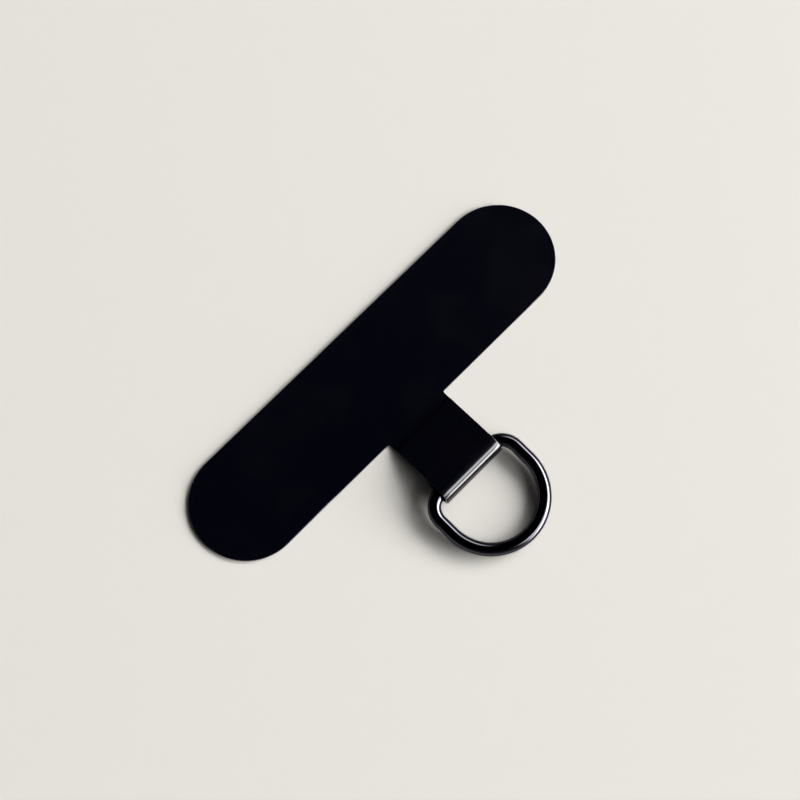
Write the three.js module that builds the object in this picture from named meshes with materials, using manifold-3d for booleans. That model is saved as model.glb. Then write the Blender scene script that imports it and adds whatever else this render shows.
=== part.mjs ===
// Phone lanyard patch: a thin flexible T-shaped sheet whose tab is folded round the
// straight bar of a bent-wire D-ring. Millimetres, +Z up. X runs along the strip, the
// tab and ring point to -Y, and the origin is the middle of the strip's underside.
import * as THREE from 'three';
import { mergeVertices } from 'three/addons/utils/BufferGeometryUtils.js';
import Module from 'manifold-3d';

const wasm = await Module();
wasm.setup();

// Sheet
const sheetThickness = 0.4;
const stripLength = 62;
const stripWidth = 15.15;
const tabWidth = 10;
const tabFlatRun = 0.35;
const rootFillet = 0.3;
const rootBendRadius = 1.7;
const rootSlopeDegrees = 34;

// Fold round the bar
const barReach = 9.45;
const foldShift = -0.48;
const loopClearance = 0.37;
const neckRadius = 1.6;
const flapSetback = 2.4;

// D-ring
const wireDiameter = 1.8;
const ringInnerWidth = 12.2;
const ringInnerDepth = 9.95;
const ringCornerRadius = 1.65;
const ringSlide = -0.34;
const buttGap = 0.15;

// Facets
const sheetArcSegments = 12;
const wireSegments = 8;
const wireSteps = 112;

// The bar's axis lies on the middle of the loop, and the loop lies on the strip's own level.
const wireRadius = wireDiameter / 2;
const loopInnerRadius = wireRadius + loopClearance;
const loopMiddleRadius = loopInnerRadius + sheetThickness / 2;
const loopOuterRadius = loopInnerRadius + sheetThickness;
const rootDistance = stripWidth / 2 + tabFlatRun;
const barDistance = stripWidth / 2 + barReach;
const barHeight = loopOuterRadius;

// Makes a solid from a closed geometry, so that it can be joined.
function toSolid(geometry) {
  const bare = geometry.clone();
  bare.deleteAttribute('normal');
  bare.deleteAttribute('uv');
  const merged = mergeVertices(bare);
  return new wasm.Manifold(new wasm.Mesh({
    numProp: 3,
    vertProperties: new Float32Array(merged.attributes.position.array),
    triVerts: new Uint32Array(merged.index.array),
  }));
}

// Turns a solid back into a geometry.
function toGeometry(solid) {
  const mesh = solid.getMesh();
  const geometry = new THREE.BufferGeometry();
  geometry.setAttribute('position', new THREE.BufferAttribute(mesh.vertProperties, 3));
  geometry.setIndex(new THREE.BufferAttribute(mesh.triVerts, 1));
  geometry.computeVertexNormals();
  return geometry;
}

// Flat part of the sheet: the round-ended strip and the start of its tab, with a small
// fillet in each corner between them.
function flatSheetGeometry() {
  const endRadius = stripWidth / 2;
  const endCentre = stripLength / 2 - endRadius;
  const side = tabWidth / 2;
  const outline = new THREE.Shape();
  outline.moveTo(endCentre, endRadius);
  outline.lineTo(-endCentre, endRadius);
  outline.absarc(-endCentre, 0, endRadius, Math.PI / 2, 1.5 * Math.PI, false);
  outline.lineTo(-side - rootFillet, -endRadius);
  outline.absarc(-side - rootFillet, -endRadius - rootFillet, rootFillet, Math.PI / 2, 0, true);
  outline.lineTo(-side, -rootDistance);
  outline.lineTo(side, -rootDistance);
  outline.lineTo(side, -endRadius - rootFillet);
  outline.absarc(side + rootFillet, -endRadius - rootFillet, rootFillet, Math.PI, Math.PI / 2, true);
  outline.lineTo(endCentre, -endRadius);
  outline.absarc(endCentre, 0, endRadius, -Math.PI / 2, Math.PI / 2, false);
  return new THREE.ExtrudeGeometry(outline, {
    depth: sheetThickness,
    bevelEnabled: false,
    curveSegments: 2 * sheetArcSegments,
  });
}

// Side view of the folded tab, across the strip from its long side (u) and up (v). The tab
// bends up off the strip and back, then runs straight to the top of the loop, goes round the
// bar and comes back beneath itself, where its end is bonded on as a flap.
function foldedTabOutline() {
  const rootSlope = THREE.MathUtils.degToRad(rootSlopeDegrees);
  const halfTurn = Math.PI;
  const quarterTurn = Math.PI / 2;
  const bar = new THREE.Vector2(barDistance, barHeight);
  const upBend = new THREE.Vector2(rootDistance, sheetThickness / 2 + rootBendRadius);
  const backBend = new THREE.Vector2(Math.sin(rootSlope), -Math.cos(rootSlope));
  backBend.multiplyScalar(2 * rootBendRadius).add(upBend);

  // The straight run touches both the second bend and the top of the loop.
  const span = bar.clone().sub(backBend);
  const slope = span.angle() - Math.asin((rootBendRadius - loopMiddleRadius) / span.length());
  const along = new THREE.Vector2(Math.cos(slope), Math.sin(slope));
  const upward = new THREE.Vector2(-Math.sin(slope), Math.cos(slope));
  const place = (e, n) => bar.clone().addScaledVector(along, e).addScaledVector(upward, n);

  // The neck is an arc that turns the flap from the loop onto the tab's underside.
  const neckDrop = loopMiddleRadius - sheetThickness - neckRadius;
  const neckRun = Math.sqrt((loopMiddleRadius + neckRadius) ** 2 - neckDrop ** 2);
  const neck = place(-neckRun, neckDrop);
  const neckStart = quarterTurn + slope;
  const neckEnd = slope - Math.atan2(neckDrop, neckRun);
  const loopStart = neckEnd - halfTurn;
  const loopEnd = quarterTurn + slope;

  const flapReach = barReach - flapSetback - loopInnerRadius * Math.sin(slope);
  const flapEnd = -flapReach / Math.cos(slope);
  const flapHigh = place(flapEnd, loopInnerRadius);
  const flapLow = place(flapEnd, loopInnerRadius - sheetThickness);

  const bendInner = rootBendRadius - sheetThickness / 2;
  const bendOuter = rootBendRadius + sheetThickness / 2;
  const outline = new THREE.Shape();
  outline.moveTo(rootDistance, 0);
  outline.absarc(upBend.x, upBend.y, bendOuter, -quarterTurn, rootSlope - quarterTurn, false);
  outline.absarc(backBend.x, backBend.y, bendInner, quarterTurn + rootSlope, quarterTurn + slope, true);
  outline.lineTo(flapHigh.x, flapHigh.y);
  outline.lineTo(flapLow.x, flapLow.y);
  outline.absarc(neck.x, neck.y, neckRadius - sheetThickness / 2, neckStart, neckEnd, true);
  outline.absarc(bar.x, bar.y, loopOuterRadius, loopStart, loopEnd, false);
  outline.absarc(backBend.x, backBend.y, bendOuter, quarterTurn + slope, quarterTurn + rootSlope, false);
  outline.absarc(upBend.x, upBend.y, bendInner, rootSlope - quarterTurn, -quarterTurn, true);

  const eye = new THREE.Path();
  eye.absarc(bar.x, bar.y, loopInnerRadius, loopStart, loopEnd, false);
  eye.absarc(neck.x, neck.y, neckRadius + sheetThickness / 2, neckStart, neckEnd, true);
  outline.holes.push(eye);
  return outline;
}

// The folded tab: its side view drawn out across the tab's width. It leans a little to one
// side on the way to the bar, so that the fold's middle lies foldShift from the root's.
function foldedTabGeometry() {
  const geometry = new THREE.ExtrudeGeometry(foldedTabOutline(), {
    depth: tabWidth,
    bevelEnabled: false,
    curveSegments: sheetArcSegments,
  });
  const across = new THREE.Vector3(0, -1, 0);
  const up = new THREE.Vector3(0, 0, 1);
  const sideways = new THREE.Vector3(-1, 0, 0);
  geometry.applyMatrix4(new THREE.Matrix4().makeBasis(across, up, sideways));
  geometry.translate(tabWidth / 2, 0, 0);
  const run = barDistance - rootDistance;
  const position = geometry.attributes.position;
  for (let i = 0; i < position.count; i += 1) {
    const share = THREE.MathUtils.clamp((-position.getY(i) - rootDistance) / run, 0, 1);
    position.setX(i, position.getX(i) + foldShift * share);
  }
  return geometry;
}

// Arc in the XY plane, for a wire's middle line.
class FlatArc extends THREE.Curve {
  constructor(centre, radius, startAngle, endAngle) {
    super();
    this.centre = centre;
    this.radius = radius;
    this.startAngle = startAngle;
    this.endAngle = endAngle;
  }

  getPoint(t, target = new THREE.Vector3()) {
    const angle = this.startAngle + t * (this.endAngle - this.startAngle);
    const x = this.centre.x + this.radius * Math.cos(angle);
    const y = this.centre.y + this.radius * Math.sin(angle);
    return target.set(x, y, 0);
  }
}

// Distance from the bar's axis to the middle of the wire at the far end of the D.
const ringReach = ringInnerDepth + wireDiameter;

// The ring: one round wire bent into a D, with its two ends butted at the middle of the bar.
function ringGeometry() {
  const halfWidth = (ringInnerWidth + wireDiameter) / 2;
  const corner = ringCornerRadius + wireRadius;
  const bowCentre = -ringReach + halfWidth;
  const straight = (x0, y0, x1, y1) => new THREE.LineCurve3(
    new THREE.Vector3(x0, y0, 0),
    new THREE.Vector3(x1, y1, 0),
  );
  const path = new THREE.CurvePath();
  const rightCorner = new THREE.Vector2(halfWidth - corner, -corner);
  const leftCorner = new THREE.Vector2(corner - halfWidth, -corner);
  path.add(straight(buttGap / 2, 0, halfWidth - corner, 0));
  path.add(new FlatArc(rightCorner, corner, Math.PI / 2, 0));
  path.add(straight(halfWidth, -corner, halfWidth, bowCentre));
  path.add(new FlatArc(new THREE.Vector2(0, bowCentre), halfWidth, 0, -Math.PI));
  path.add(straight(-halfWidth, bowCentre, -halfWidth, -corner));
  path.add(new FlatArc(leftCorner, corner, Math.PI, Math.PI / 2));
  path.add(straight(corner - halfWidth, 0, -buttGap / 2, 0));
  const section = new THREE.Shape();
  section.absarc(0, 0, wireRadius, 0, 2 * Math.PI, false);
  return new THREE.ExtrudeGeometry(section, {
    steps: wireSteps,
    extrudePath: path,
    curveSegments: wireSegments,
  });
}

const sheetMaterial = new THREE.MeshStandardMaterial({ color: 0x08080a, roughness: 0.32, metalness: 0 });
const ringMaterial = new THREE.MeshStandardMaterial({ color: 0x3a3a40, roughness: 0.18, metalness: 1 });

const patchSheet = new THREE.Mesh(
  toGeometry(toSolid(flatSheetGeometry()).add(toSolid(foldedTabGeometry()))),
  sheetMaterial,
);
patchSheet.name = 'patch_sheet';

const dRing = new THREE.Mesh(ringGeometry(), ringMaterial);
dRing.name = 'd_ring';

// The ring turns on its bar. It hangs down until the far end of its bow lies level with
// the strip's underside.
const ringPivot = new THREE.Group();
ringPivot.position.set(foldShift + ringSlide, -barDistance, barHeight);
ringPivot.rotation.x = Math.asin((barHeight - wireRadius) / ringReach);
ringPivot.add(dRing);

const group = new THREE.Group();
group.add(patchSheet, ringPivot);

export default group;
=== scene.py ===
"""Phone lanyard patch: the looks of a black film patch with its D-ring, seen from above."""
import math

import bmesh
import bpy
from mathutils import Matrix, Vector


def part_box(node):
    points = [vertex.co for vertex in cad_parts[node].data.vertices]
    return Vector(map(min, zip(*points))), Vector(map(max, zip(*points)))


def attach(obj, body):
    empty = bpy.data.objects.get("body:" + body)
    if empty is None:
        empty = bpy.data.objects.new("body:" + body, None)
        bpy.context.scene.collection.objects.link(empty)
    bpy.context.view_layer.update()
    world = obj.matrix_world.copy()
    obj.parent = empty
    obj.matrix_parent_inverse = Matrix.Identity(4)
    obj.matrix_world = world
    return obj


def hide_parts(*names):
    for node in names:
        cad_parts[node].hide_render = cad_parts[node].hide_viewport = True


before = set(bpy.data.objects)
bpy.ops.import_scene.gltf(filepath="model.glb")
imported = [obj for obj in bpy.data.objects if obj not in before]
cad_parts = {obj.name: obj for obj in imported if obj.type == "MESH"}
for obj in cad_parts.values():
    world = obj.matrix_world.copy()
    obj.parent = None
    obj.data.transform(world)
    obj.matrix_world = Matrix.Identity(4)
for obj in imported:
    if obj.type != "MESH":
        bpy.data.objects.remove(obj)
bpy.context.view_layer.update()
scene = bpy.context.scene
mm = 0.001

# The picture keeps plain tones, and only its deepest ones are drawn down to black.
deepest_tone = (0.0045, 0.0045, 0.0042)
scene.view_settings.view_transform = "Standard"
scene.view_settings.use_curve_mapping = True
scene.view_settings.curve_mapping.black_level = deepest_tone
scene.view_settings.curve_mapping.update()

# The camera looks down on the patch from a little way to its left and towards its ring,
# rolled so that the strip runs from the lower left of the picture to the upper right.
camera_lens = 83.25
camera_distance = 242.465 * mm
camera_lean_x = math.radians(-10.425)
camera_lean_y = math.radians(-10.509)
camera_roll = math.radians(-46.312)
camera_target = Vector((0.269, -4.325, 0)) * mm

camera_back = Vector((math.sin(camera_lean_x), math.sin(camera_lean_y), 0))
camera_back.z = math.sqrt(1 - camera_back.length_squared)
level_up = (Vector((0, 1, 0)) - camera_back * camera_back.y).normalized()
level_right = level_up.cross(camera_back)
camera_right = math.cos(camera_roll) * level_right + math.sin(camera_roll) * level_up
camera_up = camera_back.cross(camera_right)
camera_place = Matrix((camera_right, camera_up, camera_back)).transposed().to_4x4()
camera_place.translation = camera_target + camera_back * camera_distance
camera_data = bpy.data.cameras.new("camera")
camera_data.lens = camera_lens
camera_data.sensor_width = 36
camera_data.clip_start = 0.01
camera = bpy.data.objects.new("camera", camera_data)
camera.matrix_world = camera_place
scene.collection.objects.link(camera)
scene.camera = camera

# The patch is die-cut from one sheet of flexible black film: a strip with round ends, and a
# tab that bends up off it, goes round the ring's bar and comes back beneath itself, where a
# thin line of glue holds its end.
sheet_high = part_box("patch_sheet")[1]
film = 0.4 * mm
glue_line = 0.012 * mm
cut_edge_round = 0.06 * mm
strip_reach = sheet_high.x
strip_side = sheet_high.y
tab_side = 5 * mm
tab_flat_run = 0.35 * mm
root_fillet = 0.3 * mm
root_bend_radius = 1.7 * mm
root_slope = math.radians(34)
bar_reach = 9.45 * mm
fold_shift = -0.48 * mm
loop_inner_radius = 1.27 * mm
neck_radius = 1.6 * mm
flap_setback = 2.4 * mm

round_end_steps = 96
tab_half_columns = 5
fillet_steps = 8
rise_steps = 24
level_steps = 16
run_steps = 6
loop_steps = 128
neck_steps = 32
tolerance = 0.001 * mm
fine_tolerance = 0.0001 * mm

root_distance = strip_side + tab_flat_run
bar_distance = strip_side + bar_reach
loop_radius = loop_inner_radius + film / 2
bar_height = loop_inner_radius + film
layer_step = film + glue_line

up_bend = Vector((root_distance, film / 2 + root_bend_radius))
back_bend = up_bend + 2 * root_bend_radius * Vector((math.sin(root_slope), -math.cos(root_slope)))
span = Vector((bar_distance, bar_height)) - back_bend
slope = math.atan2(span.y, span.x) - math.asin((root_bend_radius - loop_radius) / span.length)
neck_drop = loop_radius - layer_step - neck_radius
neck_run = math.sqrt((loop_radius + neck_radius) ** 2 - neck_drop**2)
neck_turn = math.pi / 2 + math.atan2(neck_drop, neck_run)
neck = Vector((bar_distance, bar_height))
neck += -neck_run * Vector((math.cos(slope), math.sin(slope)))
neck += neck_drop * Vector((-math.sin(slope), math.cos(slope)))
run_length = math.sqrt(span.length_squared - (root_bend_radius - loop_radius) ** 2)
flap_reach = (bar_reach - flap_setback - loop_inner_radius * math.sin(slope)) / math.cos(slope)

film_mesh = bmesh.new()
end_centre = strip_reach - strip_side
level = Matrix.Translation((0, 0, film / 2))
stretch = Matrix.Diagonal((end_centre, strip_side, 1, 1))
bmesh.ops.create_grid(film_mesh, x_segments=1, y_segments=2, size=1, matrix=level @ stretch)

# Each round end is a radius line swept through half a turn.
for side in (1, -1):
    hub = film_mesh.verts.new((side * end_centre, 0, film / 2))
    rim = film_mesh.verts.new((side * end_centre, -side * strip_side, film / 2))
    radius_line = [hub, rim, film_mesh.edges.new((hub, rim))]
    bmesh.ops.spin(
        film_mesh, geom=radius_line, cent=hub.co, axis=(0, 0, 1),
        angle=math.pi, steps=round_end_steps, use_merge=False,
    )
bmesh.ops.remove_doubles(film_mesh, verts=film_mesh.verts, dist=tolerance)

# The strip is parted where the tab's columns run on into it.
tab_columns = [-tab_side - root_fillet, tab_side + root_fillet]
tab_columns += [
    tab_side * step / tab_half_columns for step in range(1 - tab_half_columns, tab_half_columns)
]
for column in tab_columns:
    bmesh.ops.bisect_plane(
        film_mesh, geom=[*film_mesh.verts, *film_mesh.edges, *film_mesh.faces],
        plane_co=(column, 0, 0), plane_no=(1, 0, 0), dist=fine_tolerance,
    )

tab_row = [
    edge for edge in film_mesh.edges
    if all(abs(v.co.y + strip_side) < tolerance for v in edge.verts)
    and all(abs(v.co.x) < tab_side + root_fillet + tolerance for v in edge.verts)
]


def extrude_row(edges, step):
    """Draws a row of edges on by one step and gives back the new row."""
    made = bmesh.ops.extrude_edge_only(film_mesh, edges=edges)["geom"]
    moved = [item for item in made if isinstance(item, bmesh.types.BMVert)]
    bmesh.ops.translate(film_mesh, verts=moved, vec=step)
    return [item for item in made if isinstance(item, bmesh.types.BMEdge)]


def bend_row(edges, centre, angle, steps):
    """Sweeps a row of edges round a line across the tab; a positive angle bends it up."""
    row = edges + list({v for edge in edges for v in edge.verts})
    made = bmesh.ops.spin(
        film_mesh, geom=row, cent=(0, -centre.x, centre.y), axis=(-1, 0, 0),
        angle=angle, steps=steps, use_merge=False,
    )["geom_last"]
    return [item for item in made if isinstance(item, bmesh.types.BMEdge)]


# The tab leaves the strip through a small fillet on each side.
for step in range(fillet_steps):
    start_angle = math.pi / 2 * (1 - step / fillet_steps)
    end_angle = math.pi / 2 * (1 - (step + 1) / fillet_steps)
    drop = root_fillet * (math.sin(start_angle) - math.sin(end_angle))
    tab_row = extrude_row(tab_row, (0, -drop, 0))
    for vert in {v for edge in tab_row for v in edge.verts}:
        if abs(vert.co.x) > tab_side - tolerance:
            half_width = tab_side + root_fillet * (1 - math.cos(end_angle))
            vert.co.x = math.copysign(half_width, vert.co.x)
tab_row = extrude_row(tab_row, (0, root_fillet - tab_flat_run, 0))

# From there it bends up and back, runs to the bar, goes round it, and its end is turned
# back along the tab's underside.
run_direction = Vector((0, -math.cos(slope), math.sin(slope)))
bar_middle = Vector((bar_distance, bar_height))
tab_row = bend_row(tab_row, up_bend, root_slope, rise_steps)
tab_row = bend_row(tab_row, back_bend, slope - root_slope, level_steps)
for step in range(run_steps):
    tab_row = extrude_row(tab_row, run_direction * run_length / run_steps)
tab_row = bend_row(tab_row, bar_middle, -math.pi - neck_turn, loop_steps)
tab_row = bend_row(tab_row, neck, neck_turn, neck_steps)
flap_length = flap_reach - neck_run
tab_row = extrude_row(tab_row, -run_direction * flap_length)

# The tab leans a little to one side on its way to the bar.
for vert in film_mesh.verts:
    share = (-vert.co.y - root_distance) / (bar_distance - root_distance)
    vert.co.x += fold_shift * min(max(share, 0), 1)
bmesh.ops.recalc_face_normals(film_mesh, faces=film_mesh.faces)
film_data = bpy.data.meshes.new("patch_film")
film_mesh.to_mesh(film_data)
film_mesh.free()
for face in film_data.polygons:
    face.use_smooth = True
patch_film = bpy.data.objects.new("patch_film", film_data)
scene.collection.objects.link(patch_film)

# The film gets its thickness, cut edges of their own finish, and a slight round on those edges.
thickness = patch_film.modifiers.new("thickness", "SOLIDIFY")
thickness.thickness = film
thickness.offset = 0
thickness.use_even_offset = True
thickness.material_offset_rim = 1
edge_round = patch_film.modifiers.new("edge_round", "BEVEL")
edge_round.width = cut_edge_round
edge_round.segments = 4
edge_round.limit_method = "ANGLE"
edge_round.angle_limit = math.radians(50)
edge_round.use_clamp_overlap = False
flat_shading = patch_film.modifiers.new("flat_shading", "WEIGHTED_NORMAL")
flat_shading.keep_sharp = True


def handling_marks():
    """Builds the marks that film and plating share: fine grain, smudges and hair scratches."""
    smudge_start, smudge_full = 0.48, 0.7
    scratch_width = 0.006
    scratch_start, scratch_full = 0.5, 0.56
    marks = bpy.data.node_groups.new("handling_marks", "ShaderNodeTree")
    marks.interface.new_socket("Vector", in_out="INPUT", socket_type="NodeSocketVector")
    for name in ("Grain Scale", "Smudge Scale", "Scratch Scale"):
        marks.interface.new_socket(name, in_out="INPUT", socket_type="NodeSocketFloat")
    for name in ("Grain", "Smudge", "Scratch"):
        marks.interface.new_socket(name, in_out="OUTPUT", socket_type="NodeSocketFloat")
    nodes, links = marks.nodes, marks.links
    taken = nodes.new("NodeGroupInput")
    given = nodes.new("NodeGroupOutput")

    def noise(scale, detail, distortion):
        cloud = nodes.new("ShaderNodeTexNoise")
        cloud.inputs["Detail"].default_value = detail
        cloud.inputs["Distortion"].default_value = distortion
        links.new(taken.outputs["Vector"], cloud.inputs["Vector"])
        links.new(taken.outputs[scale], cloud.inputs["Scale"])
        return cloud.outputs["Fac"]

    def ramp(value, low, high, start=0, end=1):
        step = nodes.new("ShaderNodeMapRange")
        step.interpolation_type = "SMOOTHSTEP"
        step.inputs["From Min"].default_value = low
        step.inputs["From Max"].default_value = high
        step.inputs["To Min"].default_value = start
        step.inputs["To Max"].default_value = end
        links.new(value, step.inputs["Value"])
        return step.outputs["Result"]

    links.new(noise("Grain Scale", 3, 0), given.inputs["Grain"])
    smudge = noise("Smudge Scale", 2, 0.8)
    links.new(ramp(smudge, smudge_start, smudge_full), given.inputs["Smudge"])

    # A hair scratch is a thin line where a slow noise passes its middle. It shows only where
    # the surface is smudged.
    off_middle = nodes.new("ShaderNodeMath")
    off_middle.operation = "SUBTRACT"
    off_middle.inputs[1].default_value = 0.5
    links.new(noise("Scratch Scale", 0, 1.5), off_middle.inputs[0])
    distance = nodes.new("ShaderNodeMath")
    distance.operation = "ABSOLUTE"
    links.new(off_middle.outputs[0], distance.inputs[0])
    broken = nodes.new("ShaderNodeMath")
    broken.operation = "MULTIPLY"
    links.new(ramp(distance.outputs[0], 0, scratch_width, 1, 0), broken.inputs[0])
    links.new(ramp(smudge, scratch_start, scratch_full), broken.inputs[1])
    links.new(broken.outputs[0], given.inputs["Scratch"])
    return marks


def vary(tree, value, low, high):
    """Gives a finish value that runs from low to high over the surface as a mask does."""
    spread = tree.nodes.new("ShaderNodeMapRange")
    spread.inputs["To Min"].default_value = low
    spread.inputs["To Max"].default_value = high
    tree.links.new(value, spread.inputs["Value"])
    return spread.outputs["Result"]


def tint(tree, mask, plain, marked):
    """Gives a colour that goes from plain to marked with a mask."""
    mix = tree.nodes.new("ShaderNodeMix")
    mix.data_type = "RGBA"
    mix.inputs["A"].default_value = (*plain, 1)
    mix.inputs["B"].default_value = (*marked, 1)
    tree.links.new(mask, mix.inputs["Factor"])
    return mix.outputs["Result"]


def emboss(tree, height, depth, strength, under=None):
    """Gives a bumped normal from a height mask, on top of another one if there is any."""
    bump = tree.nodes.new("ShaderNodeBump")
    bump.inputs["Distance"].default_value = depth
    bump.inputs["Strength"].default_value = strength
    tree.links.new(height, bump.inputs["Height"])
    if under:
        tree.links.new(under, bump.inputs["Normal"])
    return bump.outputs["Normal"]


def mark_surface(tree, vector, grain, smudge, scratch):
    """Places the handling marks in a material at its own scales, in marks per metre."""
    placed = tree.nodes.new("ShaderNodeGroup")
    placed.node_tree = marks_group
    placed.inputs["Grain Scale"].default_value = grain
    placed.inputs["Smudge Scale"].default_value = smudge
    placed.inputs["Scratch Scale"].default_value = scratch
    tree.links.new(vector, placed.inputs["Vector"])
    return placed


marks_group = handling_marks()

# The film's face has a faint grain, smudges where fingers pressed it, and a few specks of dust.
film_gloss = 0.62
clean_film = (0.0021, 0.0022, 0.0032)
smudged_film = (0.0024, 0.0024, 0.0034)
dust_tone = (0.055, 0.053, 0.05)
speck_spacing = 150
speck_core, speck_rim = 0.012, 0.02
face_relief = 0.001 * mm

film_surface = bpy.data.materials.new("black_film")
film_surface.use_nodes = True
film_tree = film_surface.node_tree
film_shader = film_tree.nodes["Principled BSDF"]
film_shader.inputs["Specular IOR Level"].default_value = film_gloss
film_place = film_tree.nodes.new("ShaderNodeTexCoord").outputs["Object"]
film_marks = mark_surface(film_tree, film_place, grain=4200, smudge=130, scratch=110)
specks = film_tree.nodes.new("ShaderNodeTexVoronoi")
specks.inputs["Scale"].default_value = speck_spacing
film_tree.links.new(film_place, specks.inputs["Vector"])
dust = film_tree.nodes.new("ShaderNodeMapRange")
dust.inputs["From Min"].default_value = speck_core
dust.inputs["From Max"].default_value = speck_rim
dust.inputs["To Min"].default_value = 1
dust.inputs["To Max"].default_value = 0
film_tree.links.new(specks.outputs["Distance"], dust.inputs["Value"])
film_black = tint(film_tree, film_marks.outputs["Smudge"], clean_film, smudged_film)
dusty = tint(film_tree, dust.outputs["Result"], (0, 0, 0), dust_tone)
film_colour = film_tree.nodes.new("ShaderNodeMix")
film_colour.data_type = "RGBA"
film_colour.blend_type = "ADD"
film_colour.inputs["Factor"].default_value = 1
film_tree.links.new(film_black, film_colour.inputs["A"])
film_tree.links.new(dusty, film_colour.inputs["B"])
film_tree.links.new(film_colour.outputs["Result"], film_shader.inputs["Base Color"])
film_sheen = vary(film_tree, film_marks.outputs["Smudge"], 0.155, 0.172)
film_tree.links.new(film_sheen, film_shader.inputs["Roughness"])
film_grain = emboss(film_tree, film_marks.outputs["Grain"], face_relief, 1)
film_normal = emboss(film_tree, film_marks.outputs["Scratch"], -face_relief, 1, film_grain)
film_tree.links.new(film_normal, film_shader.inputs["Normal"])

# The die leaves the cut edge duller than the face, with fine upright lines.
cut_film = (0.002, 0.002, 0.003)
scored_film = (0.0042, 0.0042, 0.0055)
upright_stretch = (1, 1, 0.06)
cut_relief = 0.002 * mm

cut_surface = bpy.data.materials.new("cut_film_edge")
cut_surface.use_nodes = True
cut_tree = cut_surface.node_tree
cut_shader = cut_tree.nodes["Principled BSDF"]
cut_shader.inputs["Specular IOR Level"].default_value = film_gloss
cut_object = cut_tree.nodes.new("ShaderNodeTexCoord").outputs["Object"]
cut_lines = cut_tree.nodes.new("ShaderNodeMapping")
cut_lines.inputs["Scale"].default_value = upright_stretch
cut_tree.links.new(cut_object, cut_lines.inputs["Vector"])
cut_place = cut_lines.outputs["Vector"]
cut_marks = mark_surface(cut_tree, cut_place, grain=9000, smudge=600, scratch=300)
cut_colour = tint(cut_tree, cut_marks.outputs["Grain"], cut_film, scored_film)
cut_tree.links.new(cut_colour, cut_shader.inputs["Base Color"])
cut_sheen = vary(cut_tree, cut_marks.outputs["Grain"], 0.2, 0.4)
cut_tree.links.new(cut_sheen, cut_shader.inputs["Roughness"])
cut_normal = emboss(cut_tree, cut_marks.outputs["Grain"], cut_relief, 1)
cut_tree.links.new(cut_normal, cut_shader.inputs["Normal"])

film_data.materials.append(film_surface)
film_data.materials.append(cut_surface)
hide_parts("patch_sheet")
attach(patch_film, "patch")

# The D-ring is one length of round steel wire, bent cold to a D with its two ends butted on
# the straight bar, then polished and plated in black nickel. Its bar turns in the tab's fold.
wire_radius = 0.9 * mm
ring_half_width = 7 * mm
ring_reach = 11.75 * mm
ring_corner = 2.55 * mm
ring_slide = -0.34 * mm
butt_gap = 0.15 * mm
wire_sides = 48
corner_steps = 40
bow_steps = 128

bow_centre = ring_half_width - ring_reach
wire_mesh = bmesh.new()
section_turn = Matrix.Translation((butt_gap / 2, 0, 0)) @ Matrix.Rotation(math.pi / 2, 4, "Y")
bmesh.ops.create_circle(
    wire_mesh, segments=wire_sides, radius=wire_radius, cap_ends=True, matrix=section_turn,
)
wire_end = list(wire_mesh.faces)

# Each point keeps its place round the wire, so that the drawing lines can follow its length.
around = wire_mesh.verts.layers.float_vector.new("around")
for vert in wire_mesh.verts:
    vert[around] = (0, vert.co.y, vert.co.z)


def draw_wire(faces, step):
    """Draws the wire's end face on by a straight step and gives back the new end."""
    made = bmesh.ops.extrude_face_region(wire_mesh, geom=faces)["geom"]
    bmesh.ops.delete(wire_mesh, geom=faces, context="FACES_ONLY")
    moved = [item for item in made if isinstance(item, bmesh.types.BMVert)]
    bmesh.ops.translate(wire_mesh, verts=moved, vec=step)
    return [item for item in made if isinstance(item, bmesh.types.BMFace)]


def bend_wire(faces, centre, angle, steps):
    """Bends the wire's end face round an upright line and gives back the new end."""
    made = bmesh.ops.spin(
        wire_mesh, geom=faces, cent=(*centre, 0), axis=(0, 0, 1),
        angle=angle, steps=steps, use_merge=False,
    )["geom_last"]
    bmesh.ops.delete(wire_mesh, geom=faces, context="FACES_ONLY")
    return [item for item in made if isinstance(item, bmesh.types.BMFace)]


quarter = math.pi / 2
corner_x = ring_half_width - ring_corner
leg = -ring_corner - bow_centre
wire_end = draw_wire(wire_end, (corner_x - butt_gap / 2, 0, 0))
wire_end = bend_wire(wire_end, (corner_x, -ring_corner), -quarter, corner_steps)
wire_end = draw_wire(wire_end, (0, -leg, 0))
wire_end = bend_wire(wire_end, (0, bow_centre), -2 * quarter, bow_steps)
wire_end = draw_wire(wire_end, (0, leg, 0))
wire_end = bend_wire(wire_end, (-corner_x, -ring_corner), -quarter, corner_steps)
wire_end = draw_wire(wire_end, (corner_x - butt_gap / 2, 0, 0))
bmesh.ops.holes_fill(wire_mesh, edges=wire_mesh.edges)
bmesh.ops.recalc_face_normals(wire_mesh, faces=wire_mesh.faces)

# The ring hangs from its bar until the far end of its bow lies on the surface.
ring_tilt = math.asin((bar_height - wire_radius) / ring_reach)
ring_place = Matrix.Translation((fold_shift + ring_slide, -bar_distance, bar_height))
bmesh.ops.transform(
    wire_mesh, matrix=ring_place @ Matrix.Rotation(ring_tilt, 4, "X"), verts=wire_mesh.verts,
)
wire_data = bpy.data.meshes.new("ring_wire")
wire_mesh.to_mesh(wire_data)
wire_mesh.free()
for face in wire_data.polygons:
    face.use_smooth = len(face.vertices) == 4
ring_wire = bpy.data.objects.new("ring_wire", wire_data)
scene.collection.objects.link(ring_wire)

# Drawing left fine lines along the wire, and the plate over them varies a little in tone.
# Black nickel reflects less at a low angle than a bright metal does.
clean_nickel = (0.063, 0.062, 0.07)
smudged_nickel = (0.054, 0.052, 0.064)
nickel_edge_tint = (0.42, 0.42, 0.45, 1)
drawing_stretch = (0.05, 0.05, 0.05)
drawing_relief = 0.0004 * mm
nickel_scratch_relief = 0.0006 * mm

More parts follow.
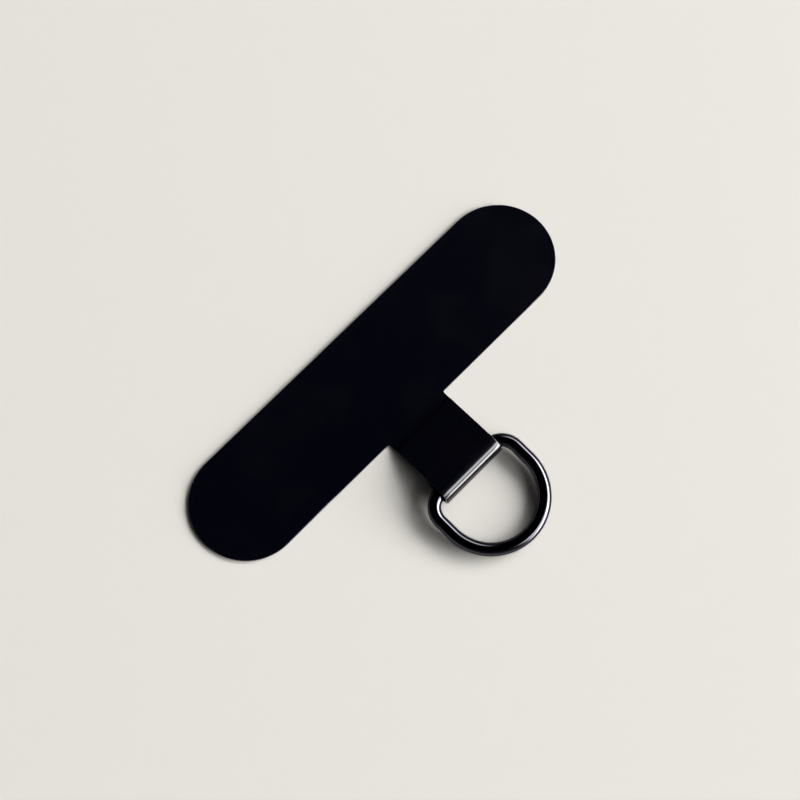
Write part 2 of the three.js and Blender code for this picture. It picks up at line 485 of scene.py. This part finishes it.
nickel = bpy.data.materials.new("black_nickel")
nickel.use_nodes = True
nickel_tree = nickel.node_tree
nickel_shader = nickel_tree.nodes["Principled BSDF"]
nickel_shader.inputs["Metallic"].default_value = 1
nickel_shader.inputs["Specular Tint"].default_value = nickel_edge_tint
nickel_place = nickel_tree.nodes.new("ShaderNodeTexCoord").outputs["Object"]
nickel_marks = mark_surface(nickel_tree, nickel_place, grain=3000, smudge=420, scratch=350)
round_wire = nickel_tree.nodes.new("ShaderNodeAttribute")
round_wire.attribute_name = "around"
along_wire = nickel_tree.nodes.new("ShaderNodeVectorMath")
along_wire.operation = "MULTIPLY_ADD"
along_wire.inputs[1].default_value = drawing_stretch
nickel_tree.links.new(nickel_place, along_wire.inputs[0])
nickel_tree.links.new(round_wire.outputs["Vector"], along_wire.inputs[2])
drawn = nickel_tree.nodes.new("ShaderNodeTexNoise")
drawn.inputs["Scale"].default_value = 9000
drawn.inputs["Detail"].default_value = 2
nickel_tree.links.new(along_wire.outputs["Vector"], drawn.inputs["Vector"])
nickel_smudge = nickel_marks.outputs["Smudge"]
nickel_colour = tint(nickel_tree, nickel_smudge, clean_nickel, smudged_nickel)
nickel_tree.links.new(nickel_colour, nickel_shader.inputs["Base Color"])
nickel_sheen = vary(nickel_tree, nickel_smudge, 0.12, 0.16)
nickel_tree.links.new(nickel_sheen, nickel_shader.inputs["Roughness"])
nickel_lines = emboss(nickel_tree, drawn.outputs["Fac"], drawing_relief, 1)
nickel_scratch = nickel_marks.outputs["Scratch"]
nickel_normal = emboss(nickel_tree, nickel_scratch, -nickel_scratch_relief, 1, nickel_lines)
nickel_tree.links.new(nickel_normal, nickel_shader.inputs["Normal"])
wire_data.materials.append(nickel)
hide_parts("d_ring")
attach(ring_wire, "ring")

# The floor is a plain pale board without gloss, far larger than the patch.
floor_half = 8
board_tone = (0.4, 0.387, 0.363, 1)
floor_mesh = bmesh.new()
bmesh.ops.create_grid(floor_mesh, x_segments=1, y_segments=1, size=floor_half)
floor_data = bpy.data.meshes.new("floor")
floor_mesh.to_mesh(floor_data)
floor_mesh.free()
floor = bpy.data.objects.new("floor", floor_data)
scene.collection.objects.link(floor)
board = bpy.data.materials.new("pale_board")
board.use_nodes = True
board_shader = board.node_tree.nodes["Principled BSDF"]
board_shader.inputs["Base Color"].default_value = board_tone
board_shader.inputs["Roughness"].default_value = 0.5
board_shader.inputs["Specular IOR Level"].default_value = 0
floor_data.materials.append(board)

# Light comes from a wide soft window beyond the ring and to its right, a weaker one above it
# and a third at the strip's right end. Each fades out towards its edges. The rest of the room
# is dim, above all straight up and behind the patch, so that the flat film stays black.
window_distance = 3
window_soft_margin = 0.3


def hang_window(name, azimuth, elevation, half_width, half_height, roll, radiance):
    """Hangs a soft-edged window in the direction given in degrees and aims it at the patch."""
    data = bpy.data.lights.new(name, "AREA")
    data.shape = "RECTANGLE"
    data.size = 2 * window_distance * math.tan(math.radians(half_width))
    data.size_y = 2 * window_distance * math.tan(math.radians(half_height))
    data.energy = radiance * math.pi * data.size * data.size_y
    data.use_nodes = True
    tree = data.node_tree
    place = tree.nodes.new("ShaderNodeNewGeometry")
    across = tree.nodes.new("ShaderNodeSeparateXYZ")
    tree.links.new(place.outputs["Parametric"], across.inputs["Vector"])
    fades = []
    for axis in ("X", "Y"):
        from_edge = tree.nodes.new("ShaderNodeMath")
        from_edge.operation = "PINGPONG"
        from_edge.inputs[1].default_value = 0.5
        tree.links.new(across.outputs[axis], from_edge.inputs[0])
        fade = tree.nodes.new("ShaderNodeMapRange")
        fade.interpolation_type = "SMOOTHSTEP"
        fade.inputs["From Max"].default_value = window_soft_margin
        tree.links.new(from_edge.outputs[0], fade.inputs["Value"])
        fades.append(fade)
    both = tree.nodes.new("ShaderNodeMath")
    both.operation = "MULTIPLY"
    tree.links.new(fades[0].outputs["Result"], both.inputs[0])
    tree.links.new(fades[1].outputs["Result"], both.inputs[1])
    tree.links.new(both.outputs[0], tree.nodes["Emission"].inputs["Strength"])
    window = bpy.data.objects.new(name, data)
    turn = math.radians(azimuth)
    rise = math.radians(elevation)
    toward = Vector((math.cos(turn), math.sin(turn), 0)) * math.cos(rise)
    toward.z = math.sin(rise)
    window.matrix_world = (
        Matrix.Translation(toward * window_distance)
        @ toward.to_track_quat("Z", "Y").to_matrix().to_4x4()
        @ Matrix.Rotation(math.radians(roll), 4, "Z")
    )
    window.visible_camera = False
    scene.collection.objects.link(window)


hang_window(
    "window", azimuth=-47, elevation=19.5, half_width=50, half_height=19, roll=29, radiance=22,
)
hang_window(
    "upper_window", azimuth=-66, elevation=37, half_width=26, half_height=13, roll=0, radiance=10,
)
hang_window(
    "far_window", azimuth=4, elevation=34, half_width=28, half_height=12, roll=22, radiance=7,
)

# The room's own light falls off from near the floor to nearly straight up, and behind the
# patch it is weak at every height.
level_light = 0.19
zenith_light = 0.025
backing_light = 0.055
fall_start = math.radians(12)
fall_end = math.radians(76)
backing_start, backing_full = 0.2, 0.9

room = bpy.data.worlds.new("room")
scene.world = room
room.use_nodes = True
room_nodes = room.node_tree.nodes
room_links = room.node_tree.links
direction = room_nodes.new("ShaderNodeTexCoord")
height = room_nodes.new("ShaderNodeSeparateXYZ")
room_links.new(direction.outputs["Generated"], height.inputs["Vector"])
darkening = room_nodes.new("ShaderNodeMapRange")
darkening.inputs["From Min"].default_value = math.sin(fall_start)
darkening.inputs["From Max"].default_value = math.sin(fall_end)
darkening.inputs["To Min"].default_value = level_light
darkening.inputs["To Max"].default_value = zenith_light
room_links.new(height.outputs["Z"], darkening.inputs["Value"])
backing = room_nodes.new("ShaderNodeMapRange")
backing.inputs["From Min"].default_value = backing_start
backing.inputs["From Max"].default_value = backing_full
room_links.new(height.outputs["Y"], backing.inputs["Value"])
fill = room_nodes.new("ShaderNodeMix")
fill.inputs["B"].default_value = backing_light
room_links.new(backing.outputs["Result"], fill.inputs["Factor"])
room_links.new(darkening.outputs["Result"], fill.inputs["A"])
room_links.new(fill.outputs["Result"], room_nodes["Background"].inputs["Strength"])
room_nodes["Background"].inputs["Color"].default_value = (0.95, 0.97, 1, 1)
